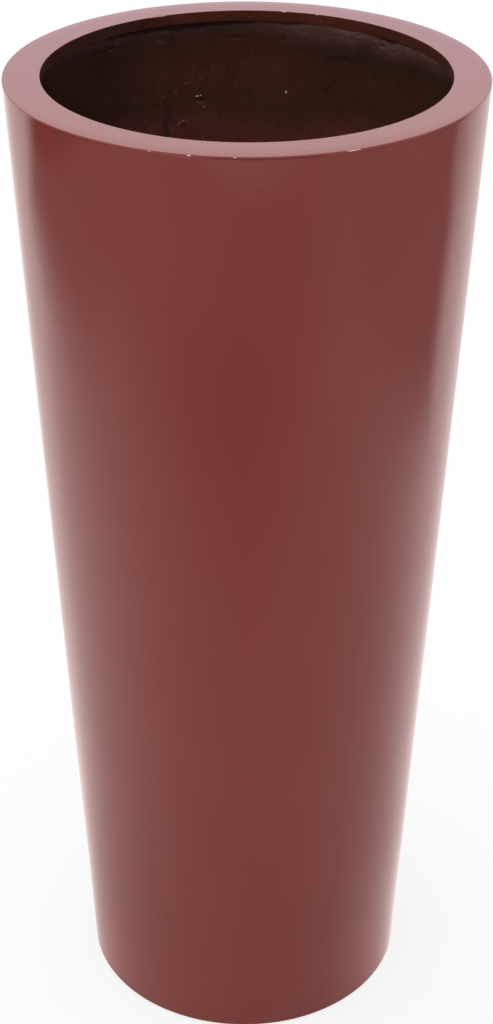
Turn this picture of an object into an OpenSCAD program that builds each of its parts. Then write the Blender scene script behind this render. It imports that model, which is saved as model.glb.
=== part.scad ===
// Tall round planter in millimetres, Z up, standing on the floor with its axis on the origin.
// A tapered laminated shell is made in two halves, bonded along two upright seams. A flat ring with
// a turned-down lip caps it, and a panel bonded in near the bottom carries the rubber feet and the
// drain hole, which a rubber bung closes from inside.

/* [Pot] */
// Overall height, from the floor to the top face of the rim
pot_h = 690; // [500:5:900]
// Outer diameter at the top edge of the rim
top_d = 304; // [260:2:420]
// Outer diameter at the bottom edge of the shell
foot_d = 231; // [180:1:250]
// Thickness of the laminated wall, measured level
wall_t = 4; // [3:0.5:6]
// Rounding of the bottom edge of the shell, on its outer side
foot_edge_r = 1.4; // [0.4:0.1:1.6]
// Height of the shell's bottom edge above the floor
ground_gap = 2; // [1:0.5:4]

/* [Rim] */
// Width of the flat ring that turns inward at the top
rim_w = 23.5; // [22:0.5:40]
// Thickness of the ring
rim_t = 2.5; // [2:0.25:4]
// Height of the lip at the ring's inner edge, from the top face down
lip_h = 7.5; // [6:0.5:20]
// Thickness of the lip
lip_t = 3; // [2:0.25:4]
// Rounding of the ring's outer edge
rim_edge_r = 0.8; // [0.4:0.1:1.4]
// Rounding of the edges of the mouth
mouth_edge_r = 0.4; // [0.2:0.1:1]

/* [Base] */
// Height of the base panel's underside above the floor
base_z = 12; // [9:0.5:30]
// Thickness of the base panel
base_t = 5; // [3:0.5:10]
// Diameter of the drain hole in the panel
drain_d = 20; // [12:0.5:30]

/* [Bonding] */
// Film of adhesive between a bonded piece and the curved wall
film_t = 0.3; // [0.2:0.05:0.6]
// Depth of the resin bead under the rim, down the wall
rim_bead_h = 25; // [8:0.5:30]
// Width of the resin bead under the rim, along the ring
rim_bead_w = 9; // [4:0.5:11]
// Height of the resin bead round the base panel, up the wall
base_bead_h = 9; // [5:0.5:20]
// Width of the resin bead round the base panel, along the panel
base_bead_w = 9; // [5:0.5:20]
// Width of the glass strip over each seam
seam_w = 19; // [15:1:60]
// Thickness of the glass strip
seam_t = 2; // [1:0.25:4]
// Angle of the rear seam from the back of the pot, towards its left side
seam_turn = 25; // [0:1:45]

/* [Bung] */
// Diameter of the bung's head
bung_head_d = 32; // [32:1:50]
// Thickness of the head at its rim
bung_head_t = 3; // [2:0.25:6]
// Rise of the head's crown above its rim
bung_crown = 1.6; // [0.5:0.1:4]
// How far the shank reaches below the panel
bung_reach = 4; // [2:0.5:7]
// Radial clearance of the shank in the drain hole
bung_gap = 0.3; // [0.1:0.05:0.6]
// How much the shank's radius shrinks towards its end
bung_taper = 0.6; // [0.2:0.1:1.2]
// Thickness of the hollow shank's wall
bung_wall = 2.5; // [1.5:0.25:4]

/* [Feet] */
// Diameter of each rubber foot
pad_d = 25; // [15:1:30]
// Distance of each foot's edge from the wall, measured on the panel
pad_inset = 15; // [5:1:25]
// Number of feet
pad_n = 4; // [3:1:8]
// Rounding of the edge that meets the floor
pad_edge_r = 1; // [0.4:0.1:2]

/* [Hidden] */
$fn = 180;

lacquer = [0.48, 0.24, 0.23];
brown_coat = [0.17, 0.1, 0.08];
rubber = [0.09, 0.09, 0.09];

// Rounding of the shell's bottom edge on its inner side, where the laminate is trimmed
trim_edge_r = 0.6;
// Straight pieces in each rounded corner
corner_steps = 6;
// Straight pieces in the hollow of a bead
bead_steps = 8;

ring_z = pot_h - rim_t;
panel_top = base_z + base_t;
mouth_r = top_d / 2 - rim_w;
rear_seam = 90 + seam_turn;

// Outer and inner radius of the wall at a height
function outer_r(z) = (foot_d + (top_d - foot_d) * (z - ground_gap) / (pot_h - ground_gap)) / 2;
function inner_r(z) = outer_r(z) - wall_t;
// Radius of the outer face of a piece that is bonded to the inside of the wall
function seat_r(z) = inner_r(z) - film_t;

function unit(v) = v / norm(v);
function turn_of(v) = atan2(v[1], v[0]);
function short_way(a) = a > 180 ? a - 360 : a < -180 ? a + 360 : a;

// One corner of an outline as an arc of radius r that touches both of its sides
function corner(before, at, after, r) =
    r <= 0 ? [at] :
    let (
        u = unit(before - at),
        v = unit(after - at),
        half = acos(u * v) / 2,
        middle = at + unit(u + v) * r / sin(half),
        first = turn_of(at + u * r / tan(half) - middle),
        sweep = short_way(turn_of(at + v * r / tan(half) - middle) - first)
    )
    [for (i = [0:corner_steps])
        middle + r * [cos(first + sweep * i / corner_steps), sin(first + sweep * i / corner_steps)]];

// An outline from its corners, each written as [point, rounding]
function rounded(corners) =
    let (n = len(corners))
    [for (i = [0:n - 1])
        each corner(corners[(i + n - 1) % n][0], corners[i][0], corners[(i + 1) % n][0], corners[i][1])];

// A resin bead's outline in the corner of a flat face at z_flat and the wall, hollowed by an arc:
// it runs w along the face and h along the wall, upwards where up is 1 and downwards where it is -1
function bead_outline(z_flat, w, h, up) =
    let (toe = z_flat + up * h)
    concat(
        [[seat_r(toe), toe], [seat_r(z_flat), z_flat]],
        [for (i = [0:bead_steps])
            let (a = 90 * i / bead_steps)
            [seat_r(z_flat) + (seat_r(toe) - seat_r(z_flat)) * (1 - cos(a)) - w * (1 - sin(a)),
             toe - up * h * cos(a)]]
    );

module shell_half(start) {
    color(lacquer)
        rotate([0, 0, start])
            rotate_extrude(angle = 180)
                polygon(rounded([
                    [[outer_r(ground_gap), ground_gap], foot_edge_r],
                    [[outer_r(ring_z), ring_z], 0],
                    [[inner_r(ring_z), ring_z], 0],
                    [[inner_r(ground_gap), ground_gap], trim_edge_r]
                ]));
}

module shell_left() {
    shell_half(rear_seam);
}

module shell_right() {
    shell_half(rear_seam + 180);
}

module rim_ring() {
    color(lacquer)
        rotate_extrude()
            polygon(rounded([
                [[outer_r(ring_z), ring_z], 0],
                [[outer_r(pot_h), pot_h], rim_edge_r],
                [[mouth_r, pot_h], mouth_edge_r],
                [[mouth_r, pot_h - lip_h], mouth_edge_r],
                [[mouth_r + lip_t, pot_h - lip_h], 0],
                [[mouth_r + lip_t, ring_z], 0]
            ]));
}

module rim_bead() {
    color(brown_coat)
        rotate_extrude()
            polygon(bead_outline(ring_z, rim_bead_w, rim_bead_h, -1));
}

module base_bead() {
    color(brown_coat)
        rotate_extrude()
            polygon(bead_outline(panel_top, base_bead_w, base_bead_h, 1));
}

// A glass strip on the inside of the wall, between the two beads, centred on a seam
module seam_strip(seam) {
    bottom = panel_top + base_bead_h + film_t;
    top = ring_z - rim_bead_h - film_t;
    spread = seam_w / inner_r((bottom + top) / 2) * 180 / PI;
    color(brown_coat)
        rotate([0, 0, seam - spread / 2])
            rotate_extrude(angle = spread)
                polygon([
                    [seat_r(bottom), bottom],
                    [seat_r(top), top],
                    [seat_r(top) - seam_t, top],
                    [seat_r(bottom) - seam_t, bottom]
                ]);
}

module seam_strip_rear() {
    seam_strip(rear_seam);
}

module seam_strip_front() {
    seam_strip(rear_seam + 180);
}

module base_panel() {
    color(brown_coat)
        rotate_extrude()
            polygon([
                [drain_d / 2, base_z],
                [seat_r(base_z), base_z],
                [seat_r(panel_top), panel_top],
                [drain_d / 2, panel_top]
            ]);
}

module foot_pads() {
    color(rubber)
        for (i = [0:pad_n - 1])
            rotate([0, 0, 360 * (i + 0.5) / pad_n])
                translate([seat_r(base_z) - pad_inset - pad_d / 2, 0, 0])
                    rotate_extrude()
                        polygon(rounded([
                            [[0, 0], 0],
                            [[pad_d / 2, 0], pad_edge_r],
                            [[pad_d / 2, base_z], 0],
                            [[0, base_z], 0]
                        ]));
}

// Mushroom-shaped bung: its head lies on the panel and its hollow shank fills the drain hole
module drain_bung() {
    shank_r = drain_d / 2 - bung_gap;
    tip_r = shank_r - bung_taper;
    tip_z = base_z - bung_reach;
    head_top = panel_top + bung_head_t;
    color(rubber)
        rotate_extrude()
            polygon(rounded([
                [[0, head_top + bung_crown], 0],
                [[0, panel_top], 0],
                [[tip_r - bung_wall, panel_top], 0],
                [[tip_r - bung_wall, tip_z], 0],
                [[tip_r, tip_z], 0.4],
                [[shank_r, panel_top], 0],
                [[bung_head_d / 2, panel_top], 0.4],
                [[bung_head_d / 2, head_top], 0.6]
            ]));
}

shell_left();
shell_right();
rim_ring();
rim_bead();
seam_strip_rear();
seam_strip_front();
base_panel();
base_bead();
foot_pads();
drain_bung();
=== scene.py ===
import math

import bmesh
import bpy
from mathutils import Matrix, Vector, noise
from mathutils.bvhtree import BVHTree


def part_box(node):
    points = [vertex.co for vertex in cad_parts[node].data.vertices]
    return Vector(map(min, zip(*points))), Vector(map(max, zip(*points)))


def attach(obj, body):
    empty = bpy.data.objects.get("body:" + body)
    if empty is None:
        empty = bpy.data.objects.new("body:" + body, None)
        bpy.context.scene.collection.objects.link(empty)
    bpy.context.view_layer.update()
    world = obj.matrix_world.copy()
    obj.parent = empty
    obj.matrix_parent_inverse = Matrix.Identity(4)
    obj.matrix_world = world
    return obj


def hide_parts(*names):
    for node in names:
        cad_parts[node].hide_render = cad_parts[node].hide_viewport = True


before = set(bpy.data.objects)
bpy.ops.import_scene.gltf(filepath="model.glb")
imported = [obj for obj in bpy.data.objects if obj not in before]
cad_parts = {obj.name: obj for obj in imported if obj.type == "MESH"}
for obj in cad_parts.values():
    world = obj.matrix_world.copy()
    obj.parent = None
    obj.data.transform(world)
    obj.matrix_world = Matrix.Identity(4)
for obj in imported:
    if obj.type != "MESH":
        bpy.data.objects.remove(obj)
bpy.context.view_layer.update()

millimetre = 0.001
normalWeight = 60     # how far large faces outweigh small ones in the shading, of 100

# The pot's own sizes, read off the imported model. Heights and radii are in metres.


def pointsOf(node):
    return [v.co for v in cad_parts[node].data.vertices]


def ringRadii(node, height):
    # smallest and largest radius of a node's vertices at one height
    found = [co.xy.length for co in pointsOf(node) if abs(co.z - height) < 0.2 * millimetre]
    return min(found), max(found)


def tangentPoint(node, reach):
    # widest vertex in the lowest part of a node, where its rounded edge meets its straight side
    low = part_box(node)[0].z
    widest = max((co for co in pointsOf(node) if co.z < low + reach), key=lambda co: co.xy.length)
    return widest.xy.length, widest.z


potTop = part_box("rim_ring")[1].z
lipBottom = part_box("rim_ring")[0].z
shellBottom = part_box("shell_left")[0].z
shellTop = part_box("shell_left")[1].z
innerTopRadius, outerTopRadius = ringRadii("shell_left", shellTop)
lowRadius, lowHeight = tangentPoint("shell_left", 2 * millimetre)
wallSlope = (outerTopRadius - lowRadius) / (shellTop - lowHeight)
wallThickness = outerTopRadius - innerTopRadius
mouthRadius = min(co.xy.length for co in pointsOf("rim_ring"))
lipRadius = ringRadii("rim_ring", lipBottom)[1]
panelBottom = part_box("base_panel")[0].z
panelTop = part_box("base_panel")[1].z
drainRadius = ringRadii("base_panel", panelTop)[0]


def outerRadius(height):
    return outerTopRadius + (height - shellTop) * wallSlope


def innerRadius(height):
    return outerRadius(height) - wallThickness


def backAngle(co):
    # degrees round the pot from its back, positive towards its right side
    return math.degrees(math.atan2(co.x, co.y))


# Depth below the rim, in millimetres, down to which the bead hides the wall
beadEnd = 23
# Where the rear strip hides the wall: from this depth down, and between these degrees from the back
stripFrom = 45
stripAngles = (-29, -21.3)
print("frame: height", round(potTop, 4), "top", round(outerTopRadius, 4), "mouth", round(mouthRadius, 4))


# Mesh helpers


def spinOutline(corners, segments, cuts=(), angle=math.tau, closed=True):
    # turns an outline of (radius, height) corners about Z; cuts gives the extra points on each side
    bm = bmesh.new()
    verts = [bm.verts.new((radius, 0, height)) for radius, height in corners]
    sides = list(zip(verts, verts[1:] + verts[:1])) if closed else list(zip(verts, verts[1:]))
    edges = [bm.edges.new(side) for side in sides]
    for edge, count in zip(edges, cuts):
        if count:
            bmesh.ops.subdivide_edges(bm, edges=[edge], cuts=count)
    bmesh.ops.spin(bm, geom=bm.verts[:] + bm.edges[:], axis=(0, 0, 1), cent=(0, 0, 0), dvec=(0, 0, 0),
                   angle=angle, steps=segments, use_merge=angle == math.tau, use_duplicate=False)
    bmesh.ops.remove_doubles(bm, verts=bm.verts, dist=0.00001)
    bmesh.ops.recalc_face_normals(bm, faces=bm.faces)
    return bm


def roundRing(bm, radius, height, amount, segments):
    # rounds the sharp ring of edges at one radius and height
    near = 0.00005
    ring = [e for e in bm.edges if all(abs(v.co.xy.length - radius) < near and abs(v.co.z - height) < near
                                       for v in e.verts)]
    bmesh.ops.bevel(bm, geom=ring, offset=amount, offset_type="OFFSET", segments=segments, profile=0.5,
                    affect="EDGES", material=-1, clamp_overlap=True)


def pushRadially(bm, depth):
    # moves each vertex away from the axis by depth(co), in metres
    for v in bm.verts:
        away = Vector((v.co.x, v.co.y, 0)).normalized()
        v.co += away * depth(v.co)


def lumpAt(co):
    # fractal noise of three octaves
    return noise.fractal(co, 1.0, 2.0, 3)


def addObject(name, data):
    made = bpy.data.objects.new(name, data)
    bpy.context.scene.collection.objects.link(made)
    return made


def finishPiece(bm, name, materials, replaced, body="planter"):
    mesh = bpy.data.meshes.new(name)
    for face in bm.faces:
        face.smooth = True
    bm.to_mesh(mesh)
    bm.free()
    for material in materials:
        mesh.materials.append(material)
    piece = addObject(name, mesh)
    weighted = piece.modifiers.new("weighted_normal", "WEIGHTED_NORMAL")
    weighted.weight = normalWeight
    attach(piece, body)
    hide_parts(*replaced)
    print(name, len(mesh.polygons), "faces")
    return piece


# Material helpers


def feed(tree, node, values):
    # links each output to its socket, or writes a plain value on it
    for key, value in values.items():
        if isinstance(value, bpy.types.NodeSocket):
            tree.links.new(value, node.inputs[key])
        else:
            node.inputs[key].default_value = value


def addNode(tree, kind, values=None, **settings):
    node = tree.nodes.new("ShaderNode" + kind)
    for key, value in settings.items():
        setattr(node, key, value)
    feed(tree, node, values or {})
    return node


def newMaterial(name):
    material = bpy.data.materials.new(name)
    material.use_nodes = True
    tree = material.node_tree
    coords = addNode(tree, "TexCoord").outputs["Object"]
    return material, tree, tree.nodes["Principled BSDF"], coords


def split(tree, vector):
    return addNode(tree, "SeparateXYZ", {"Vector": vector}).outputs[:]


def noiseAt(tree, coords, scale, detail=2.0, roughness=0.5, distortion=0.0, stretch=None, turn=(0, 0, 0)):
    # noise on the object's own coordinates, optionally stretched and turned
    if stretch:
        mapping = addNode(tree, "Mapping", {"Vector": coords, "Scale": stretch, "Rotation": turn})
        coords = mapping.outputs["Vector"]
    node = addNode(tree, "TexNoise", {"Vector": coords, "Scale": scale, "Detail": detail,
                                      "Roughness": roughness, "Distortion": distortion})
    return node.outputs["Fac"]


def remap(tree, value, fromMin, fromMax, toMin=0, toMax=1, smooth=True):
    node = addNode(tree, "MapRange", {"Value": value, "From Min": fromMin, "From Max": fromMax,
                                      "To Min": toMin, "To Max": toMax},
                   interpolation_type="SMOOTHSTEP" if smooth else "LINEAR")
    return node.outputs["Result"]


def patternAt(tree, coords, look, name, low=0, high=1, smooth=True):
    # one of a look's noises, with its span spread between two levels
    return remap(tree, noiseAt(tree, coords, *look[name]), *look[name + "Span"], low, high, smooth)


def combine(tree, operation, first, second):
    return addNode(tree, "Math", {0: first, 1: second}, operation=operation).outputs["Value"]


def multiply(tree, first, *others):
    for other in others:
        first = combine(tree, "MULTIPLY", first, other)
    return first


def mixColor(tree, factor, first, second):
    return addNode(tree, "Mix", {0: factor, 6: first, 7: second}, data_type="RGBA").outputs[2]


def mixFloat(tree, factor, first, second):
    return addNode(tree, "Mix", {0: factor, 2: first, 3: second}, data_type="FLOAT").outputs[0]


def addBump(tree, height, distance, after=None):
    node = addNode(tree, "Bump", {"Height": height, "Distance": distance, "Strength": 1.0})
    if after:
        feed(tree, node, {"Normal": after})
    return node.outputs["Normal"]


# A noise is given by its scale, detail, roughness, distortion and stretch. Its span is the part that shows.
lacquerLook = dict(
    color=(0.160, 0.0264, 0.0217, 1),
    darkColor=(0.148, 0.0243, 0.0200, 1),
    cloud=(11, 3),
    cloudSpan=(0.3, 0.7),
    cloudShare=0.65,
    grain=(620, 1),
    grainSpan=(0.35, 0.65),
    roughness=0.055,
    haze=0.10,
    smudge=(7, 5, 0.62, 0.4),
    smudgeSpan=(0.56, 0.74),
    wipe=(26, 3, 0.5, 0, (1, 1, 0.18)),
    wipeSpan=(0.5, 0.75),
    wipeShare=0.5,
    ior=1.5,
    peel=(360, 1.5),
    peelDepth=0.00002,
    ripple=(34, 1),
    rippleDepth=0.00012,
    # painted shade of a fine groove under the rim's outer edge, at the front alone:
    grooveShade=(0.086, 0.004, 0.003, 1),
    grooveShadeHeight=0.6884,
    grooveShadeHalf=0.0005,
    grooveShadeCentre=0.010,
    grooveShadeReach=(0.028, 0.042),
    grooveShadeFront=-0.1,
)


def makeLacquer():
    material, tree, shader, coords = newMaterial("red_lacquer")
    share = lacquerLook["cloudShare"]
    cloud = multiply(tree, patternAt(tree, coords, lacquerLook, "cloud"), share)
    shade = combine(tree, "ADD", cloud, patternAt(tree, coords, lacquerLook, "grain", 0, 1 - share))
    colour = mixColor(tree, shade, lacquerLook["color"], lacquerLook["darkColor"])
    # painted shade of a fine groove under the rim's outer edge, at the front alone
    x, y, z = split(tree, coords)
    band = {0: z, 1: lacquerLook["grooveShadeHeight"], 2: lacquerLook["grooveShadeHalf"]}
    level = addNode(tree, "Math", band, operation="COMPARE").outputs["Value"]
    beside = combine(tree, "ABSOLUTE", combine(tree, "SUBTRACT", x, lacquerLook["grooveShadeCentre"]), 0)
    reach = remap(tree, beside, *lacquerLook["grooveShadeReach"], 1, 0)
    grooveShade = multiply(tree, level, reach, combine(tree, "LESS_THAN", y, lacquerLook["grooveShadeFront"]))
    smudge = patternAt(tree, coords, lacquerLook, "smudge")
    wipe = patternAt(tree, coords, lacquerLook, "wipe", 0, lacquerLook["wipeShare"])
    haze = multiply(tree, combine(tree, "MAXIMUM", smudge, wipe), lacquerLook["haze"])
    peel = addBump(tree, noiseAt(tree, coords, *lacquerLook["peel"]), lacquerLook["peelDepth"])
    ripple = noiseAt(tree, coords, *lacquerLook["ripple"])
    feed(tree, shader, {
        "Base Color": mixColor(tree, grooveShade, colour, lacquerLook["grooveShade"]),
        "Roughness": combine(tree, "ADD", haze, lacquerLook["roughness"]),
        "Normal": addBump(tree, ripple, lacquerLook["rippleDepth"], peel),
        "IOR": lacquerLook["ior"],
    })
    return material


# What the three brown coats share
coatGrain = dict(
    patch=(16, 4, 0.6, 0.5),
    patchSpan=(0.36, 0.66),
    red=(15, 3, 0.6, 0.8),
    redSpan=(0.48, 0.66),
    speckle=(480, 2),
    speckleSpan=(0.42, 0.62),
    speckleShade=(1.04, 0.82),
    gloss=(38, 4, 0.6),
    glossSpan=(0.35, 0.68),
    strand=(70, 2, 0.5, 0.3, (1, 1, 0.12)),
    strandSpan=(0.52, 0.8),
    strandTurns=(0.3, 1.1, 2.0),
    grit=(520, 3, 0.6),
    uneven=(60, 2),
    unevenSpan=(0.3, 0.7),
    ior=1.5,
)
laminateLook = dict(
    brown=(0.096, 0.0300, 0.0138, 1),
    dark=(0.080, 0.0262, 0.0125, 1),
    red=(0.112, 0.0310, 0.0150, 1),
    redness=0.5,
    roughness=(0.44, 0.64),
    shine=0.18,
    fibre=0.00016,
    grit=0.00006,
)
# The coat on the lip's inner face, sprayed on over a smooth moulding
lipLook = dict(
    brown=(0.084, 0.0190, 0.0098, 1),
    dark=(0.071, 0.0166, 0.0088, 1),
    red=(0.104, 0.0186, 0.0110, 1),
    redness=0.8,
    roughness=(0.36, 0.50),
    shine=0.20,
    fibre=0.00003,
    grit=0.00003,
)
# Filled resin of the beads, smoother than the laminate
resinLook = dict(
    laminateLook,
    roughness=(0.32, 0.46),
    shine=0.30,
    fibre=0.00005,
    grit=0.00005,
)
# How the brown coat changes, by place across the pot and depth below the rim, in metres. Painted shade
# darkens it at the sides and just under the lip. It turns darker from 45 to 70 mm down, then a redder,
# lighter band is painted light, and a pale band under the rim is partly paler resin and partly painted sheen.
wallTone = dict(
    leftSide=(0.043, 0.0175, 0.0108, 1),
    rightSide=(0.059, 0.0225, 0.0122, 1),
    leftReach=(-0.035, -0.105),
    rightReach=(0.018, 0.060),
    lower=(0.073, 0.0265, 0.0135, 1),
    lowerFrom=(0.045, 0.070),
    deep=(0.120, 0.032, 0.0285, 1),
    deepFrom=(0.070, 0.092),
    deepTo=(0.130, 0.210, 1, 0),
    deepLean=(-0.03, 0.02, 0.004, -0.004),
    deepRight=(0.03, 0.07, 0, 0.009),
    veilHigh=(0.60, 0.315, 0.275, 1),
    veilLow=(0.60, 0.300, 0.320, 1),
    veilChange=(0.014, 0.026),
    veilDepth=(0.033, 0.0135),
    veilPower=3,
    veilDrop=(0.02, 0.06, 0, 0.0012),
    veilSides=(-0.03, 0.085, 0.28, 1.05),
    veilFarSide=(0.105, 0.135, 1, 0.6),
    veilEdge=(0.0142, 0.0172),
    veilLean=(-0.05, 0.03, -0.0004, 0.0030),
    veilRight=(0.070, 0.105, 0.0030, -0.0006),
    shadow=(0.060, 0.0330, 0.0280, 1),
    shadowDepth=(0.0175, 0.0220, 0.85, 0),
    shadowReach=(0.02, 0.06, 1, 0),
    wave=0.0015,
)
# Painted shade on the lip's inner face: darker at its sides, and on its lower part except towards the right
lipTone = dict(
    leftSide=(0.039, 0.0112, 0.0066, 1),
    rightSide=(0.064, 0.0170, 0.0100, 1),
    leftReach=(-0.045, -0.072),
    rightReach=(0.060, 0.090),
    low=(0.046, 0.0135, 0.0085, 1),
    lowDepth=(0.0042, 0.0076),
    lowSides=(0.015, 0.045, 1, 0.35),
    wave=0.0006,
)


def placeOf(tree, coords, wave):
    # sideways place and depth below the rim's top face, the depth made uneven by noise
    x, y, z = split(tree, coords)
    uneven = patternAt(tree, coords, coatGrain, "uneven", -wave, wave, False)
    return x, combine(tree, "ADD", combine(tree, "SUBTRACT", potTop, z), uneven)


def toneSides(tree, x, colour, tone):
    # painted shade at the left and right sides
    for side in ("left", "right"):
        colour = mixColor(tree, remap(tree, x, *tone[side + "Reach"]), colour, tone[side + "Side"])
    return colour


def toneWall(tree, coords, colour):
    x, depth = placeOf(tree, coords, wallTone["wave"])
    lower = remap(tree, depth, *wallTone["lowerFrom"])
    colour = mixColor(tree, lower, colour, wallTone["lower"])
    # painted shade at the sides
    colour = toneSides(tree, x, colour, wallTone)
    # painted light: a redder, lighter band lower down
    early = combine(tree, "ADD", depth, remap(tree, x, *wallTone["deepLean"]))
    early = combine(tree, "ADD", early, remap(tree, x, *wallTone["deepRight"]))
    deep = remap(tree, early, *wallTone["deepFrom"])
    deep = multiply(tree, deep, remap(tree, depth, *wallTone["deepTo"]))
    colour = mixColor(tree, deep, colour, wallTone["deep"])
    # painted shade just under the lip
    shadow = remap(tree, depth, *wallTone["shadowDepth"])
    shadow = multiply(tree, shadow, remap(tree, x, *wallTone["shadowReach"]))
    colour = mixColor(tree, shadow, colour, wallTone["shadow"])
    # a pale veil under the rim: partly paler resin, partly painted sheen
    # the veil starts under the lip, a little higher towards the right, and thins out downwards
    rise = combine(tree, "MINIMUM", remap(tree, x, *wallTone["veilLean"], False),
                   remap(tree, x, *wallTone["veilRight"], False))
    below = remap(tree, combine(tree, "ADD", depth, rise), *wallTone["veilEdge"])
    near = combine(tree, "SUBTRACT", depth, remap(tree, x, *wallTone["veilDrop"]))
    near = remap(tree, near, *wallTone["veilDepth"], smooth=False)
    sides = [remap(tree, x, *wallTone["veilSides"]), remap(tree, x, *wallTone["veilFarSide"])]
    amount = multiply(tree, combine(tree, "POWER", near, wallTone["veilPower"]), below, *sides)
    change = remap(tree, depth, *wallTone["veilChange"])
    veil = mixColor(tree, change, wallTone["veilHigh"], wallTone["veilLow"])
    return mixColor(tree, combine(tree, "MINIMUM", amount, 1), colour, veil)


def toneLip(tree, coords, colour):
    x, depth = placeOf(tree, coords, lipTone["wave"])
    # painted shade on the lower part of the lip's face, less towards the right
    low = remap(tree, depth, *lipTone["lowDepth"])
    low = multiply(tree, low, remap(tree, x, *lipTone["lowSides"]))
    return mixColor(tree, low, toneSides(tree, x, colour, lipTone), lipTone["low"])


def makeLaminate(name, look, toneCoat):
    material, tree, shader, coords = newMaterial(name)
    patch = patternAt(tree, coords, coatGrain, "patch")
    brown = mixColor(tree, patch, look["brown"], look["dark"])
    redness = patternAt(tree, coords, coatGrain, "red", 0, look["redness"])
    colour = toneCoat(tree, coords, mixColor(tree, redness, brown, look["red"]))
    speckle = patternAt(tree, coords, coatGrain, "speckle", *coatGrain["speckleShade"])
    mottle = addNode(tree, "VectorMath", {0: colour, "Scale": speckle}, operation="SCALE")
    strands = [noiseAt(tree, coords, *coatGrain["strand"], (turn, 0, turn / 2))
               for turn in coatGrain["strandTurns"]]
    weave = combine(tree, "MAXIMUM", combine(tree, "MAXIMUM", strands[0], strands[1]), strands[2])
    fibre = addBump(tree, remap(tree, weave, *coatGrain["strandSpan"]), look["fibre"])
    grit = noiseAt(tree, coords, *coatGrain["grit"])
    feed(tree, shader, {
        "Base Color": mottle.outputs["Vector"],
        "Roughness": patternAt(tree, coords, coatGrain, "gloss", *look["roughness"]),
        "Normal": addBump(tree, grit, look["grit"], fibre),
        "IOR": coatGrain["ior"],
        "Specular IOR Level": look["shine"],
    })
    return material


# Specks: chipped primer that also stands as painted glints, resin crumbs, and painted shade of pits and resin
# runs
speckLooks = dict(
    primer_and_glint=dict(color=(0.66, 0.450, 0.420, 1), dusty=(0.57, 0.380, 0.350, 1),
                     roughness=(0.40, 0.60), shine=0.5, depth=0.00002),
    resin_crumb=dict(color=(0.27, 0.120, 0.105, 1), dusty=(0.19, 0.085, 0.074, 1),
                     roughness=(0.40, 0.60), shine=0.35, depth=0.00003),
    # painted shade of pits and of runs and edges
    pit_shade=dict(color=(0.018, 0.0070, 0.0055, 1), dusty=(0.032, 0.0130, 0.0090, 1),
                  roughness=(0.55, 0.75), shine=0.15, depth=0.00003),
    run_shade=dict(color=(0.056, 0.0215, 0.0155, 1), dusty=(0.046, 0.0175, 0.0125, 1),
                  roughness=(0.50, 0.70), shine=0.2, depth=0.00004),
)
speckGrain = dict(grain=(1400, 2), dustSpan=(0.4, 0.65), glossSpan=(0.3, 0.7))


def makeSpeck(name, look):
    material, tree, shader, coords = newMaterial(name)
    grain = noiseAt(tree, coords, *speckGrain["grain"])
    dust = remap(tree, grain, *speckGrain["dustSpan"])
    feed(tree, shader, {
        "Base Color": mixColor(tree, dust, look["color"], look["dusty"]),
        "Roughness": remap(tree, grain, *speckGrain["glossSpan"], *look["roughness"]),
        "Normal": addBump(tree, grain, look["depth"]),
        "Specular IOR Level": look["shine"],
    })
    return material


rubberLook = dict(
    color=(0.020, 0.020, 0.021, 1),
    dustColor=(0.060, 0.056, 0.052, 1),
    dust=(120, 4, 0.65),
    dustSpan=(0.5, 0.75),
    dustShare=0.5,
    patch=(60, 3),
    patchSpan=(0.3, 0.7),
    roughness=(0.58, 0.80),
    grain=(900, 2),
    grainDepth=0.00006,
    ior=1.45,
)


def makeRubber():
    material, tree, shader, coords = newMaterial("black_rubber")
    dust = patternAt(tree, coords, rubberLook, "dust", 0, rubberLook["dustShare"])
    grain = noiseAt(tree, coords, *rubberLook["grain"])
    feed(tree, shader, {
        "Base Color": mixColor(tree, dust, rubberLook["color"], rubberLook["dustColor"]),
        "Roughness": patternAt(tree, coords, rubberLook, "patch", *rubberLook["roughness"]),
        "Normal": addBump(tree, grain, rubberLook["grainDepth"]),
        "IOR": rubberLook["ior"],
    })
    return material


redLacquer = makeLacquer()
brownLaminate = makeLaminate("brown_laminate", laminateLook, toneWall)
lipCoat = makeLaminate("brown_lip_coat", lipLook, toneLip)
beadResin = makeLaminate("brown_bead_resin", resinLook, toneWall)
speckCoats = [makeSpeck(name, look) for name, look in speckLooks.items()]
blackRubber = makeRubber()
print("materials made")


# Shell: one lacquered skin over both laminated halves, rough inside

shell = dict(
    segments=480,
    outerRows=24,
    topRows=100,
    lowerRows=44,
    seenDepth=110 * millimetre,
    footRound=1.4 * millimetre,
    topRound=0.06 * millimetre,
    ripple=0.05 * millimetre,
    rippleSize=70 * millimetre,
    layUp=0.40 * millimetre,
    layUpSize=45 * millimetre,
    strand=0.13 * millimetre,
    strandSize=8 * millimetre,
    endFade=4 * millimetre,
    coatFrom=0.45,
)
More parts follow.
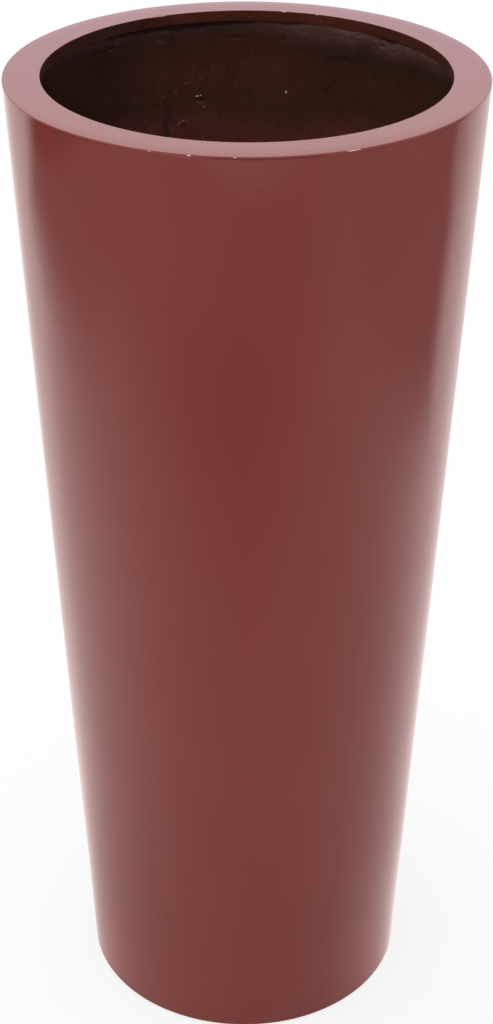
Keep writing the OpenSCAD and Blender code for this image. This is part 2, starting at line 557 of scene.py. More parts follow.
# Dabs, runs and pits inside: angle from the back, depth below the rim, half width, half height, rise.
# Angles are in degrees and the rest in millimetres; a negative rise is a pit.
innerMarks = [
    (-23.1, 79, 1.9, 10, -0.9), (-18.4, 81.8, 2.2, 2.0, 0.5), (-16.8, 81.6, 2.6, 1.0, 0.4),
    (-15.4, 94, 3, 2, -0.7), (-26, 62, 3, 3, 0.5), (-24, 61, 1.2, 1.4, 0.5), (-19.9, 60.4, 1.6, 1.6, 0.5),
    (-16.3, 54.4, 1.1, 2.2, 0.5), (-12.6, 67, 2.4, 1.6, -0.8), (-11.9, 72.1, 1.6, 1.4, 0.5),
    (-20.4, 28, 1.0, 10, -0.9), (-45, 58, 5, 7, 0.4), (13.8, 33, 2.6, 1.6, -0.5), (23.8, 33, 3, 1.6, 0.5),
    (27, 35, 2.4, 1.6, -0.6), (36.3, 45, 3, 2.4, -0.6), (23.5, 60.3, 3, 2.2, -0.4),
    (-3.0, 24.2, 2.4, 1.1, -0.8), (-2.7, 21.6, 1.8, 1.0, 0.4), (9.8, 24.8, 2.4, 1.5, -0.9),
    (42.2, 22.4, 2.6, 1.7, -0.9), (-39.1, 22.6, 2.4, 1.4, -0.7), (-36.9, 20.3, 2.4, 1.1, 0.5),
    (-25.5, 18.8, 1.5, 1.4, 0.5), (-23.2, 25.2, 2.4, 1.0, 0.4), (-22.6, 16.0, 2.0, 1.1, -0.8),
    (-24.5, 21.8, 1.6, 1.3, -0.7), (22.7, 16.4, 3.4, 0.9, 0.5), (27.4, 17.0, 3.4, 0.9, 0.6),
    (32.2, 17.3, 3.4, 1.0, 0.6), (36.7, 18.3, 1.9, 1.2, 0.9), (39.8, 16.8, 1.9, 1.2, 0.9),
    (44.6, 17.2, 3, 0.9, 0.6), (50.4, 17.8, 3, 1.0, 0.6), (55.6, 19.3, 3, 1.0, 0.5),
    (29.2, 19.2, 4, 1.1, -0.5), (38.2, 20.4, 2.6, 1.2, -0.8), (48, 20.5, 4, 1.2, -0.5),
    (70, 120, 5, 14, 0.9), (120, 260, 4, 18, 1.0), (-90, 190, 6, 12, 0.8), (-140, 330, 5, 20, 0.9),
    (160, 150, 4, 9, 0.8), (20, 300, 5, 16, 0.9), (-60, 430, 6, 10, 0.8), (95, 510, 5, 12, 0.9),
]
# Specks and thin lines on the coat, of primer that also stands as painted glints, crumbs of resin, and
# painted shade of pits and runs, in the order of speckCoats: angle, depth, width, height
specks = dict(
    primer=[
        (-13.9, 64.0, 2.3, 1.4), (-12.9, 63.6, 1.5, 1.2), (10.8, 61.7, 1.6, 2.6), (24.5, 15.9, 4.0, 0.4),
        (31, 17.0, 5.0, 0.4), (36.6, 17.5, 1.4, 0.4), (39.8, 16.0, 1.4, 0.4), (52.5, 18.2, 5.0, 0.3),
    ],
    crumb=[
        (-13.6, 68.3, 1.2, 1.0), (-11.9, 72.1, 1.9, 1.5), (-17.3, 54.8, 0.8, 0.8), (-16.3, 54.4, 0.9, 1.8),
        (-19.9, 60.4, 1.2, 1.0), (-23.8, 61.2, 1.2, 1.5), (-12.5, 52.1, 0.5, 0.5), (17.3, 44.1, 0.5, 0.5),
        (-19.5, 83.1, 1.6, 1.9), (-18.9, 82.0, 1.1, 1.7), (-18.2, 80.8, 1.4, 1.3), (-17.0, 81.5, 2.6, 0.7),
        (-12.6, 94.1, 1.4, 2.5), (-23.2, 25.2, 3.2, 0.5), (-25.5, 19.4, 1.3, 1.0), (-26.9, 18.0, 0.6, 0.5),
        (-36.9, 20.2, 2.3, 0.6), (-43.5, 17.7, 1.6, 0.6), (23.0, 33.0, 1.0, 0.6), (9.9, 26.8, 1.4, 0.4),
        (42.3, 20.6, 2.4, 0.5), (-32, 62.3, 9, 0.14), (118, 180, 1.2, 1.4), (-150, 210, 1.4, 1.2),
        (165, 95, 1.2, 1.0), (75, 330, 1.6, 1.4),
    ],
    pit=[
        (-13.0, 66.5, 2.2, 1.2), (-11.5, 68.0, 1.1, 1.4), (-35.6, 50.9, 0.9, 3.0), (-51.9, 40.6, 1.1, 3.0),
        (-39.1, 22.6, 2.2, 1.1), (-3.0, 24.2, 2.6, 0.7), (9.8, 24.5, 2.6, 1.2), (42.3, 22.5, 1.8, 1.0),
        (-15.5, 81.9, 0.7, 2.4), (-14.4, 76.0, 0.6, 1.4), (38.2, 19.6, 2.4, 0.8), (-22.6, 15.8, 2.0, 0.8),
        (-23.6, 72, 1.1, 3.4), (-22.9, 84, 0.9, 3.0),
    ],
    run=[(36.2, 44.9, 2.4, 1.5), (23.5, 60.4, 2.2, 1.4)],
)
speckThickness = dict(primer=0.6, crumb=0.6, pit=0.3, run=0.3)
# Chains of specks of painted shade: along the edge of the glass strip, a thin line, and the two sides of a
# run of resin.
# Angle and its sway, first depth and the step down, width and its sway, height
darkChains = [
    (-20.4, 0.35, 17, 1.7, 0.5, 0, 2.5),
    (-23.9, 0.15, 78, 1.6, 1.2, 0, 4.5),
    (-22.9, -0.3, 67, 2.4, 4.4, 1.2, 4.5),
]
for link in range(12):
    sway = math.sin(link * 1.3)
    for angle, lean, depth, down, width, widen, tall in darkChains:
        specks["run"].append((angle + lean * sway, depth + link * down, width + widen * sway, tall))


def markRise(co):
    rise = 0
    angle = backAngle(co)
    below = (potTop - co.z) / millimetre
    perDegree = innerRadius(co.z) / millimetre * math.pi / 180
    for markAngle, depth, halfWidth, halfHeight, height in innerMarks:
        along = (below - depth) / halfHeight
        if abs(along) < 3:
            across = ((angle - markAngle + 180) % 360 - 180) * perDegree / halfWidth
            rise += height * math.exp(-across * across - along * along)
    return rise * millimetre


def innerRelief(co):
    # how far the hand-laid surface stands in from the true cone
    broad = lumpAt(co / shell["layUpSize"]) * shell["layUp"]
    flat = Vector((co.x, co.y, co.z * 0.5))
    strand = lumpAt(flat / shell["strandSize"]) * shell["strand"]
    return broad + strand + markRise(co)


def addSpeck(bm, place, angle, width, tall, thick, slot):
    # a small lens with its flat side along the wall
    turn = Matrix.Rotation(-math.radians(angle), 4, "Z")
    shape = Matrix.Diagonal((width / 2, thick / 2, tall / 2, 1))
    made = bmesh.ops.create_icosphere(bm, subdivisions=2, radius=millimetre,
                                      matrix=Matrix.Translation(place) @ turn @ shape)
    for face in {face for v in made["verts"] for face in v.link_faces}:
        face.material_index = slot


def pieceBelow(angle, below):
    # the piece that shows inside at this angle and depth
    if below < beadEnd:
        return "bead"
    return "strip" if below > stripFrom and stripAngles[0] < angle < stripAngles[1] else "shell"


def addSpecks(bm, firstSlot, piece):
    # lays the listed specks that belong on this piece on its own inner surface
    surface = BVHTree.FromBMesh(bm)
    for offset, kind in enumerate(specks):
        for angle, below, width, tall in specks[kind]:
            if pieceBelow(angle, below) == piece:
                turned = math.radians(angle)
                side = Vector((math.sin(turned), math.cos(turned), 0))
                place = surface.ray_cast(Vector((0, 0, potTop - below * millimetre)), side)[0]
                addSpeck(bm, place, angle, width, tall, speckThickness[kind], firstSlot + offset)


def makeShell():
    seenTo = shellTop - shell["seenDepth"]
    corners = [
        (outerRadius(shellBottom), shellBottom),
        (outerRadius(shellTop), shellTop),
        (innerRadius(shellTop), shellTop),
        (innerRadius(seenTo), seenTo),
        (innerRadius(shellBottom), shellBottom),
    ]
    rows = (shell["outerRows"], 0, shell["topRows"], shell["lowerRows"], 0)
    bm = spinOutline(corners, shell["segments"], cuts=rows)
    roundRing(bm, *corners[0], shell["footRound"], 5)
    roundRing(bm, *corners[1], shell["topRound"], 2)
    roundRing(bm, *corners[4], shell["topRound"] * 1.5, 2)

    def depth(co):
        middle = outerRadius(co.z) - wallThickness / 2
        if co.xy.length > middle:
            return -abs(noise.noise(co / shell["rippleSize"])) * shell["ripple"]
        fade = min(1, (shellTop - co.z) / shell["endFade"], max(0, (co.z - shellBottom) / shell["endFade"]))
        return -innerRelief(co) * fade

    pushRadially(bm, depth)
    for face in bm.faces:
        centre = face.calc_center_median()
        inside = centre.xy.length < outerRadius(centre.z) - wallThickness * shell["coatFrom"]
        face.material_index = 1 if inside else 0
    addSpecks(bm, 2, "shell")
    return finishPiece(bm, "shell_skin", [redLacquer, brownLaminate] + speckCoats,
                       ["shell_left", "shell_right"])


# Rim: flat ring with a lip turned down inside the mouth

rim = dict(
    segments=480,
    outerRound=0.8 * millimetre,
    mouthRound=0.40 * millimetre,
    jointRound=0.06 * millimetre,
    inset=0.07 * millimetre,
    fall=0.1 * millimetre,
    crown=0.4 * millimetre,
    crownFrom=137 * millimetre,
    flat=0.03 * millimetre,
    flatSize=60 * millimetre,
    coatReach=0.12 * millimetre,
    outerChipDrop=0.35,
    mouthChipIn=0.62,
    mouthChipDrop=0.78,
    sagAngles=(-31, -26, -24.8),
    sag=0.6 * millimetre,
    sagReach=4 * millimetre,
)
# Chips down to the primer, pale enough to stand as painted glints: angle from the back, width along the edge
# and height, in degrees and millimetres
outerChips = [
    (-158.8, 2.2, 0.4), (-167.7, 2.2, 0.75), (-177.6, 2.2, 0.42), (156.4, 9.5, 0.45), (157.0, 4.0, 0.6),
    (63, 1.2, 0.4), (-97, 1.0, 0.4),
]
mouthChips = [(11.1, 5.4, 0.58), (21.4, 7.0, 0.5), (-116, 1.4, 0.5), (97, 1.6, 0.5)]


def rimSag(co):
    # how far the edge of the mouth sags where the ring is a little bent, from its slow start to its short end
    start, lowest, end = rim["sagAngles"]
    turn = backAngle(co)
    along = max(0, min((turn - start) / (lowest - start), (end - turn) / (end - lowest)))
    near = max(0, 1 - (co.xy.length - mouthRadius) / rim["sagReach"])
    return rim["sag"] * along * near * near


def makeRim():
    rimOuter = outerRadius(potTop) - rim["inset"]
    corners = [
        (outerRadius(shellTop), shellTop),
        (rimOuter, potTop),
        (mouthRadius, potTop),
        (mouthRadius, lipBottom),
        (lipRadius, lipBottom),
        (lipRadius, shellTop),
    ]
    bm = spinOutline(corners, rim["segments"], cuts=(0, 17, 2, 0, 0, 0))
    rounds = ("jointRound", "outerRound", "mouthRound", "mouthRound", "jointRound")
    for corner, amount in zip(corners, rounds):
        roundRing(bm, *corner, rim[amount], 6)
    for face in bm.faces:
        centre = face.calc_center_median()
        inMouth = centre.xy.length < mouthRadius + rim["coatReach"]
        face.material_index = 1 if inMouth or centre.z < shellTop + 0.1 * millimetre else 0
    for v in bm.verts:
        radius = v.co.xy.length
        share = (radius - mouthRadius) / (rimOuter - mouthRadius)
        crown = max(0, (radius - rim["crownFrom"]) / (rimOuter - rim["crownFrom"])) ** 3
        lift = min(1, max(0, (v.co.z - shellTop) / (potTop - shellTop)))
        uneven = abs(noise.noise(v.co / rim["flatSize"])) * rim["flat"]
        onTop = v.co.z > potTop - rim["mouthRound"] * 1.5
        v.co.z -= (share * rim["fall"] + crown * rim["crown"] + uneven) * lift + rimSag(v.co) * onTop
    drop = rim["outerRound"] * rim["outerChipDrop"]
    outerChipPlace = (rimOuter - drop, potTop - rim["fall"] - rim["crown"] - drop)
    mouthChipPlace = (mouthRadius + rim["mouthRound"] * rim["mouthChipIn"],
                      potTop - rim["mouthRound"] * rim["mouthChipDrop"])
    for chips, (radius, height) in ((outerChips, outerChipPlace), (mouthChips, mouthChipPlace)):
        for angle, width, tall in chips:
            turned = math.radians(angle)
            place = Vector((radius * math.sin(turned), radius * math.cos(turned), height))
            addSpeck(bm, place, angle, width, tall, tall, 2)
    materials = [redLacquer, lipCoat, speckCoats[0]]
    return finishPiece(bm, "rim_ring_lacquered", materials, ["rim_ring"])


# Resin beads: lumpy fillets between the wall and a flat face

bead = dict(
    segments=720,
    steps=14,
    sink=0.9 * millimetre,
    rimWave=0.3 * millimetre,
    baseWave=1.2 * millimetre,
    waveSize=16 * millimetre,
    uneven=0.30 * millimetre,
    grain=0.10 * millimetre,
    grainSize=5 * millimetre,
    rootFade=0.2,
    thickFrom=12,
    thickTo=50,
    thickFade=10,
    thickReach=0.65,
    thick=1.0 * millimetre,
    thickLumps=1.2 * millimetre,
    lumpSize=5 * millimetre,
    toeFade=0.4,
    toeFrom=0.75,
    toeSink=0.15 * millimetre,
)


def makeBead(name, node, flat, toe, width, wave, seed):
    # hollow fillet from the flat face's height to the toe's height, its back sunk a little into the wall
    height = toe - flat
    corners = [(innerRadius(toe) + bead["sink"], toe), (innerRadius(flat) + bead["sink"], flat)]
    for step in range(bead["steps"] + 1):
        angle = math.pi / 2 * step / bead["steps"]
        radius = innerRadius(flat) + (innerRadius(toe) - innerRadius(flat)) * (1 - math.cos(angle))
        corners.append((radius - width * (1 - math.sin(angle)), toe - height * math.cos(angle)))
    bm = spinOutline(corners, bead["segments"], cuts=(0, 0) + (3,) * bead["steps"])
    shift = Vector((seed, seed * 0.7, 0))
    underRim = height < 0
    for v in bm.verts:
        share = (v.co.z - flat) / height                          # 0 on the flat face, 1 at the toe
        inward = innerRadius(v.co.z) + bead["sink"] * 0.5 - v.co.xy.length
        if inward <= 0:
            continue
        lump = lumpAt(v.co / bead["waveSize"] + shift)
        swell = lump * bead["uneven"] + noise.noise(v.co / bead["grainSize"] + shift) * bead["grain"]
        if underRim:
            turn = backAngle(v.co)
            inFrom, inTo = turn - bead["thickFrom"], bead["thickTo"] - turn
            thick = min(1, max(0, inFrom / bead["thickFade"]), max(0, inTo / bead["thickFade"]))
            tall = Vector((v.co.x, v.co.y, v.co.z * 2))
            fine = lumpAt(tall / bead["lumpSize"] + shift) * bead["thickLumps"]
            bulge = math.sin(math.pi * min(1, share / bead["thickReach"]))
            swell += thick * (bead["thick"] + fine) * bulge
            atToe = max(0, (share - bead["toeFrom"]) / (1 - bead["toeFrom"]))
            swell = swell * min(1, (1 - share) / bead["toeFade"]) - bead["toeSink"] * atToe
            swell += innerRelief(v.co)
        away = Vector((v.co.x, v.co.y, 0)).normalized()
        v.co -= away * swell * min(1, share / bead["rootFade"])
        v.co.z += lump * wave * share * (1 if height > 0 else -1)
    if underRim:
        addSpecks(bm, 1, "bead")
    return finishPiece(bm, name, [beadResin] + speckCoats * underRim, [node])


def makeBeads():
    rimToe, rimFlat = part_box("rim_bead")[0].z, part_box("rim_bead")[1].z
    rimWidth = innerRadius(rimFlat) - ringRadii("rim_bead", rimFlat)[0]
    makeBead("rim_bead_resin", "rim_bead", rimFlat, rimToe, rimWidth, bead["rimWave"], 3.1)
    baseFlat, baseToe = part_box("base_bead")[0].z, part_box("base_bead")[1].z
    baseWidth = innerRadius(baseFlat) - ringRadii("base_bead", baseFlat)[0]
    makeBead("base_bead_resin", "base_bead", baseFlat, baseToe, baseWidth, bead["baseWave"], 8.4)


# Glass strips over the two seams, thick in the middle, with ragged sides laid down on the wall

strip = dict(
    rows=210,
    steps=20,
    thickness=1.9 * millimetre,
    ragged=3.0 * millimetre,
    raggedSize=11 * millimetre,
    sideFade=0.25,
    lump=0.7 * millimetre,
    lumpSize=8 * millimetre,
    back=1.6 * millimetre,
    crease=0.8 * millimetre,
    creaseWidth=1.2 * millimetre,
    topFade=34 * millimetre,
    lowFade=4 * millimetre,
    follow=0.7,
    tuck=0.35 * millimetre,
)


def makeStrip(name, node):
    low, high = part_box(node)
    centre = (low + high) / 2
    seam = math.atan2(centre.y, centre.x)
    halfWidth = max(abs((co.xy.normalized() @ Matrix.Rotation(seam, 2)).y) * co.xy.length
                    for co in pointsOf(node))
    spread = 2 * (halfWidth + strip["ragged"]) / innerRadius(centre.z)
    corners = [(innerRadius(low.z), low.z), (innerRadius(high.z), high.z)]
    bm = spinOutline(corners, strip["steps"], cuts=(strip["rows"],), angle=spread, closed=False)
    bmesh.ops.rotate(bm, verts=bm.verts, cent=(0, 0, 0), matrix=Matrix.Rotation(seam - spread / 2, 3, "Z"))

    def depth(co):
        offset = (math.atan2(co.y, co.x) - seam + math.pi) % math.tau - math.pi
        across = offset * co.xy.length
        along = Vector((0, math.copysign(5, across), co.z / strip["raggedSize"]))
        edge = halfWidth + noise.noise(along) * strip["ragged"]
        full = min(1, max(0, (edge - abs(across)) / (strip["sideFade"] * halfWidth)))
        end = min(1, (co.z - low.z) / strip["lowFade"], (high.z - co.z) / strip["topFade"])
        rise = strip["thickness"] * full * full * (3 - 2 * full) * end
        rise += lumpAt(co / strip["lumpSize"]) * strip["lump"] * full * end
        rise -= strip["crease"] * math.exp(-(across / strip["creaseWidth"]) ** 2)
        return -(rise + innerRelief(co) * strip["follow"] - strip["tuck"])

    pushRadially(bm, depth)
    bmesh.ops.recalc_face_normals(bm, faces=bm.faces)
    if sum(f.normal.dot(f.calc_center_median().xy.to_3d()) for f in bm.faces) > 0:
        bmesh.ops.reverse_faces(bm, faces=bm.faces)
    bmesh.ops.solidify(bm, geom=bm.faces[:], thickness=strip["back"])
    atRear = centre.y > 0
    if atRear:
        addSpecks(bm, 1, "strip")
    return finishPiece(bm, name, [brownLaminate] + speckCoats * atRear, [node])


# Base panel with its drain hole

panel = dict(
    segments=240,
    rings=30,
    holeRound=0.8 * millimetre,
    lump=0.45 * millimetre,
    lumpSize=24 * millimetre,
    grain=0.18 * millimetre,
    grainSize=6 * millimetre,
    underShare=0.5,
    seatMargin=2 * millimetre,
    seatFade=6 * millimetre,
    faceReach=0.5 * millimetre,
)


def makePanel():
    corners = [
        (drainRadius, panelBottom),
        (innerRadius(panelBottom), panelBottom),
        (innerRadius(panelTop), panelTop),
        (drainRadius, panelTop),
    ]
    bm = spinOutline(corners, panel["segments"], cuts=(panel["rings"], 0, panel["rings"], 0))
    roundRing(bm, *corners[3], panel["holeRound"], 3)
    roundRing(bm, *corners[0], panel["holeRound"], 3)
    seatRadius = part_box("drain_bung")[1].x + panel["seatMargin"]
    reach = panel["faceReach"]
    for v in bm.verts:
        radius = v.co.xy.length
        side = 1 if v.co.z > panelTop - reach else -1 if v.co.z < panelBottom + reach else 0
        clear = min(1, max(0, (radius - seatRadius) / panel["seatFade"]))     # the bung's seat stays flat
        lump = lumpAt(v.co / panel["lumpSize"] + Vector((2, 5, side))) * panel["lump"]
        grain = noise.noise(v.co / panel["grainSize"] + Vector((7, 1, side))) * panel["grain"]
        v.co.z += (lump + grain) * clear * (1 if side > 0 else panel["underShare"] if side < 0 else 0)
    return finishPiece(bm, "base_panel_laminate", [brownLaminate], ["base_panel"])


# Rubber bung and feet

bung = dict(
    segments=96,
    grooveRadius=11.5 * millimetre,
    grooveWidth=1.2 * millimetre,
    grooveDepth=0.5 * millimetre,
    crownRings=(3 * millimetre, 6 * millimetre, 9 * millimetre),
    shoulder=1.5 * millimetre,
    edge=0.6 * millimetre,
    headFoot=0.5 * millimetre,
    clearance=0.3 * millimetre,
    tipOut=0.2 * millimetre,
    tipIn=0.3 * millimetre,
    hollowIn=0.4 * millimetre,
    hollowRound=1.2 * millimetre,
)


def makeBung():
    low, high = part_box("drain_bung")
    headRadius = high.x
    headTop = max(co.z for co in pointsOf("drain_bung") if co.xy.length > headRadius - 0.8 * millimetre)
    tipInner, tipOuter = ringRadii("drain_bung", low.z)
    shankOuter = drainRadius - bung["clearance"]
    shoulder = headRadius - bung["shoulder"]
    edge = bung["edge"]
    groove = bung["grooveRadius"]
    halfGroove = bung["grooveWidth"] / 2

    def crown(radius):
        return high.z - (high.z - headTop) * (radius / headRadius) ** 2

    corners = [(0, high.z)]
    corners += [(radius, crown(radius)) for radius in bung["crownRings"]]
    corners += [
        (groove - halfGroove, crown(groove)),
        (groove, crown(groove) - bung["grooveDepth"]),
        (groove + halfGroove, crown(groove)),
        (shoulder, crown(shoulder)),
        (headRadius, headTop - edge),
        (headRadius, panelTop + bung["headFoot"]),
        (headRadius - bung["headFoot"], panelTop),
        (shankOuter, panelTop),
        (tipOuter + bung["tipOut"], low.z + edge),
        (tipOuter - bung["tipIn"], low.z),
        (tipInner, low.z),
        (tipInner - bung["hollowIn"], panelTop - edge),
        (tipInner - bung["hollowRound"], panelTop),
        (0, panelTop),
    ]
    bm = spinOutline(corners, bung["segments"], closed=False)
    return finishPiece(bm, "drain_bung_rubber", [blackRubber], ["drain_bung"], "bung")


feet = dict(
    segments=72,
    edgeRound=1.0 * millimetre,
    edgeSteps=5,
    draft=0.5 * millimetre,
    grooves=(4.0 * millimetre, 8.0 * millimetre),
    grooveWidth=1.0 * millimetre,
    grooveDepth=0.7 * millimetre,
)


def makeFeet():
    quadrants = {}
    for co in pointsOf("foot_pads"):
        quadrants.setdefault((co.x > 0, co.y > 0), []).append(co.xy)
    centres = []
    for group in quadrants.values():
        low = Vector((min(co.x for co in group), min(co.y for co in group)))
        high = Vector((max(co.x for co in group), max(co.y for co in group)))
        centres.append((low + high) / 2)
    padRadius = (high.x - low.x) / 2
    corners = [(0, 0)]
    for groove in feet["grooves"]:
        corners += [(groove - feet["grooveWidth"] / 2, 0), (groove, feet["grooveDepth"]),
                    (groove + feet["grooveWidth"] / 2, 0)]
    turns = [math.pi / 2 * step / feet["edgeSteps"] for step in range(feet["edgeSteps"] + 1)]
    corners += [(padRadius - feet["edgeRound"] * (1 - math.sin(t)), feet["edgeRound"] * (1 - math.cos(t)))
                for t in turns]
    corners += [(padRadius - feet["draft"], panelBottom), (0, panelBottom)]
    whole = bmesh.new()
    for centre in centres:
        foot = spinOutline(corners, feet["segments"], closed=False)
        bmesh.ops.translate(foot, verts=foot.verts, vec=(centre.x, centre.y, 0))
        moved = bpy.data.meshes.new("moved_foot")
        foot.to_mesh(moved)
        foot.free()
        whole.from_mesh(moved)
        bpy.data.meshes.remove(moved)
    return finishPiece(whole, "foot_pads_rubber", [blackRubber], ["foot_pads"])


makeShell()
makeRim()
makeBeads()
makeStrip("seam_strip_rear_glass", "seam_strip_rear")
makeStrip("seam_strip_front_glass", "seam_strip_front")
makePanel()
makeBung()
makeFeet()
print("pieces made")


# Floor, world and light

studio = dict(
    floorSize=14,
    floorCells=8,
    ambient=0.76,
    overhead=3.1,
    overheadAngle=70,
    overheadLean=8,
    overheadPlace=(-0.5, 0, 3),
    floorAlbedo=0.76,
    floorShade=0.10,
    backLight=1.19,
    wallLight=1.50,
    wallRise=(15.5, 21),
    ceiling=0.14,
    ceilingRise=(34, 52),
    backTint=(1.03, 1.0, 1.10, 1),
    wallTint=(1.0, 0.925, 0.94, 1),
)
# How bright the floor looks in the lacquer: a white sheet lies under and behind the pot, and the floor past
# its edges is dim. Both go by the angle round the pot, in degrees from the front, positive to the right. An
# edge is the direction across it, its distance from the axis and half the width of its fade, in metres.
# This glow shows only in reflections: it is painted light, with painted shade from the camera and near the
# foot, and a painted red bounce from the pot close to the foot.
floorGlow = dict(
    sheet=((-180, 0.96), (-165, 1.08), (-145, 0.99), (-125, 1.20), (-105, 1.07), (-85, 0.88), (-60, 0.75),
           (-30, 0.61), (0, 0.50), (30, 0.54), (55, 0.65), (75, 0.77), (90, 0.94), (108, 1.13), (122, 1.11),
           (140, 1.07), (160, 0.84), (180, 0.96)),
    dim=((-180, 0.48), (-130, 0.36), (-105, 0.30), (-80, 0.42), (-45, 0.51), (0, 0.40), (45, 0.49),
         (80, 0.43), (110, 0.25), (130, 0.61), (180, 0.48)),
    leftEdges=((6.6, -1.12, 0.23), (91, 0.88, 0.19)),
    rightEdges=((184.2, -0.915, 0.187), (127.5, -0.29, 0.16)),
    backEdge=(88.4, 0.672, 0.17),
    backEnd=(160, -1.262, 0.05),
    frontEdge=(79.4, -0.767, 0.217),
    farLeft=(172, 1.603, 0.11),
    farLeftShade=0.8,
    farFront=(90, -1.456, 0.07),
    farFrontGlow=0.30,
    cameraShade=dict(centre=(-0.056, -0.915), near=0.035, far=0.401, level=0.30),
    cameraSquash=0.5,
    rightDip=dict(centre=(1.658, 0.717), near=0, far=0.669, level=0.366),
    leftGlow=dict(centre=(-0.585, -0.105), near=0, far=0.510, level=0.188),
    footGlow=dict(centre=(0.155, -0.03), near=0.02, far=0.13, level=0.20),
    footShade=0.905,
    footReach=(0.187, 0.326),
    tint=(1.0, 0.855, 0.839, 1),
    # painted red bounce light from the pot
    redBounce=(1.24, 0.855, 0.839, 1),     # close to the foot
    redBounceReach=(0.13, 0.21),
    redBounceFront=(-0.005, -0.05, 0, 1),
    strength=1.17,
)


def mixShader(tree, factor, first, second):
    return addNode(tree, "MixShader", {0: factor, 1: first, 2: second}).outputs[0]


def rayKinds(tree):
    # whether a ray comes from the camera, and whether a surface mirrors or refracts it
    path = addNode(tree, "LightPath").outputs
    return path["Is Camera Ray"], combine(tree, "MAXIMUM", path["Is Glossy Ray"], path["Is Transmission Ray"])


def grey(level):
    return (level, level, level, 1)


def makeFloor():
    bm = bmesh.new()
    cells = studio["floorCells"]
    bmesh.ops.create_grid(bm, x_segments=cells, y_segments=cells, size=studio["floorSize"])
    mesh = bpy.data.meshes.new("floor")
    bm.to_mesh(mesh)
    bm.free()
    floor = addObject("floor", mesh)
    material = bpy.data.materials.new("pale_floor")
    material.use_nodes = True
    material.cycles.emission_sampling = "NONE"
    tree = material.node_tree
    tree.nodes.clear()
    coords = addNode(tree, "TexCoord").outputs["Object"]
    x, y = split(tree, coords)[:2]
    azimuth = combine(tree, "ARCTAN2", x, multiply(tree, y, -1))
    turn = remap(tree, azimuth, -math.pi, math.pi, smooth=False)

    def pool(centre, near, far, level, squash=1):
        flat = addNode(tree, "VectorMath", {0: coords, 1: (squash, 1, 0)}, operation="MULTIPLY")
        middle = (centre[0] * squash, centre[1], 0)
        away = addNode(tree, "VectorMath", {0: flat.outputs["Vector"], 1: middle}, operation="DISTANCE")
        return remap(tree, away.outputs["Value"], near, far, level, 0)

    def around(levels):
        # brightness by angle, kept at half its value in the ramp
        node = addNode(tree, "ValToRGB", {"Fac": turn})
        stops = node.color_ramp.elements
        for index, (angle, level) in enumerate(levels):
            stop = stops[index] if index < 2 else stops.new(1)
            stop.position = (angle + 180) / 360
            stop.color = grey(level / 2)
        return multiply(tree, node.outputs["Color"], 2)

    def pastEdge(angle, distance, fade):
        across = (math.cos(math.radians(angle)), math.sin(math.radians(angle)), 0)
        node = addNode(tree, "VectorMath", {0: coords, 1: across}, operation="DOT_PRODUCT")
        return remap(tree, node.outputs["Value"], distance - fade, distance + fade)

    def shaded(level, shade):
        return multiply(tree, level, combine(tree, "SUBTRACT", 1, shade))

    left = combine(tree, "MAXIMUM", *[pastEdge(*edge) for edge in floorGlow["leftEdges"]])
    right = combine(tree, "MAXIMUM", *[pastEdge(*edge) for edge in floorGlow["rightEdges"]])
    back = multiply(tree, pastEdge(*floorGlow["backEdge"]), pastEdge(*floorGlow["backEnd"]))
    right = combine(tree, "MAXIMUM", right, back)
    covered = multiply(tree, left, right, pastEdge(*floorGlow["frontEdge"]))
    farLeft = multiply(tree, pastEdge(*floorGlow["farLeft"]), floorGlow["farLeftShade"])
    dim = shaded(around(floorGlow["dim"]), farLeft)
    sheet = combine(tree, "SUBTRACT", around(floorGlow["sheet"]), pool(**floorGlow["rightDip"]))
    glow = mixFloat(tree, covered, dim, sheet)
    glow = shaded(glow, pool(**floorGlow["cameraShade"], squash=floorGlow["cameraSquash"]))
    glow = shaded(glow, pool((0, 0), *floorGlow["footReach"], 1 - floorGlow["footShade"]))
    front = combine(tree, "SUBTRACT", 1, pastEdge(*floorGlow["farFront"]))
    front = multiply(tree, front, floorGlow["farFrontGlow"])
    for added in (front, pool(**floorGlow["leftGlow"]), pool(**floorGlow["footGlow"])):
        glow = combine(tree, "ADD", glow, added)
    glow = multiply(tree, glow, floorGlow["strength"])
    # painted red bounce light from the pot, close to the foot
    redBounce = pool((0, 0), *floorGlow["redBounceReach"], 1)
    redBounce = multiply(tree, redBounce, remap(tree, y, *floorGlow["redBounceFront"]))
    tint = mixColor(tree, redBounce, floorGlow["tint"], floorGlow["redBounce"])
    mirrored = addNode(tree, "Emission", {"Color": tint, "Strength": glow}).outputs[0]
    shade = addNode(tree, "BsdfDiffuse", {"Color": grey(studio["floorShade"])}).outputs[0]
    lit = studio["ambient"] + studio["overhead"] / math.pi
    fill = addNode(tree, "Emission", {"Strength": 1 - studio["floorShade"] * lit}).outputs[0]
    seen = addNode(tree, "AddShader", {0: shade, 1: fill}).outputs[0]
    bounce = addNode(tree, "BsdfDiffuse", {"Color": grey(studio["floorAlbedo"])}).outputs[0]
    direct, mirror = rayKinds(tree)
    surface = mixShader(tree, direct, mixShader(tree, mirror, bounce, mirrored), seen)
    under = addNode(tree, "BsdfTransparent").outputs[0]
    surface = mixShader(tree, addNode(tree, "NewGeometry").outputs["Backfacing"], surface, under)
    addNode(tree, "OutputMaterial", {"Surface": surface})
    mesh.materials.append(material)


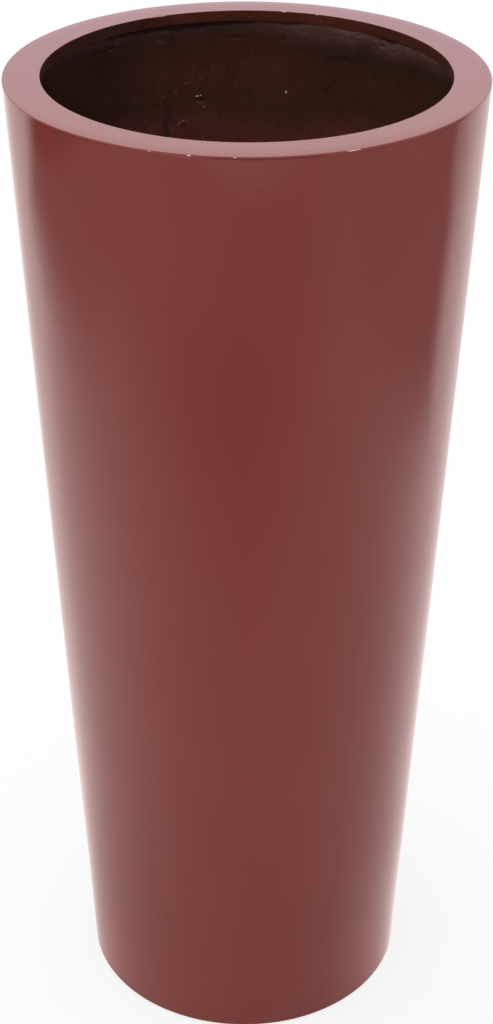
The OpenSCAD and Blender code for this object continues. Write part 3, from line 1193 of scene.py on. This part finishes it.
def makeWorld():
    world = bpy.data.worlds.new("studio")
    bpy.context.scene.world = world
    world.use_nodes = True
    world.cycles.sampling_method = "NONE"
    tree = world.node_tree
    tree.nodes.clear()
    direction = addNode(tree, "TexCoord").outputs["Generated"]
    height = combine(tree, "ARCSINE", split(tree, direction)[2], 0)
    rise, overhead = [remap(tree, height, math.radians(studio[name][0]), math.radians(studio[name][1]))
                      for name in ("wallRise", "ceilingRise")]
    wall = mixFloat(tree, rise, studio["backLight"], studio["wallLight"])
    sky = mixFloat(tree, overhead, wall, studio["ceiling"])
    direct, mirror = rayKinds(tree)
    strength = mixFloat(tree, direct, mixFloat(tree, mirror, studio["ambient"], sky), 1.0)
    tint = mixColor(tree, mirror, grey(1), mixColor(tree, rise, studio["backTint"], studio["wallTint"]))
    background = addNode(tree, "Background", {"Color": tint, "Strength": strength}).outputs[0]
    addNode(tree, "OutputWorld", {"Surface": background})


def makeOverhead():
    light = bpy.data.lights.new("overhead_soft", "SUN")
    light.energy = studio["overhead"]
    light.angle = math.radians(studio["overheadAngle"])
    lamp = addObject("overhead_soft", light)
    lamp.location = studio["overheadPlace"]
    lamp.rotation_euler = (0, math.radians(-studio["overheadLean"]), 0)
    lamp.visible_glossy = False


# Camera at the photograph's viewpoint, from the fit of the rim and foot ellipses

cameraView = dict(
    lens=73.39,
    sensor=36,
    clip=(0.02, 60),
    elevation=29.987,
    distance=1.45664,
    target=(0.00075, 0, 0.37313),
    roll=0.205,
)


def makeCamera():
    data = bpy.data.cameras.new("camera")
    data.lens = cameraView["lens"]
    data.sensor_width = cameraView["sensor"]
    data.clip_start, data.clip_end = cameraView["clip"]
    camera = addObject("camera", data)
    bpy.context.scene.camera = camera
    tilt = Matrix.Rotation(math.radians(90 - cameraView["elevation"]), 4, "X")
    roll = Matrix.Rotation(math.radians(cameraView["roll"]), 4, "Z")
    back = Matrix.Translation((0, 0, cameraView["distance"]))
    camera.matrix_world = Matrix.Translation(cameraView["target"]) @ tilt @ roll @ back


makeFloor()
makeWorld()
makeOverhead()
makeCamera()
bpy.context.scene.view_settings.view_transform = "Standard"
print("studio made")
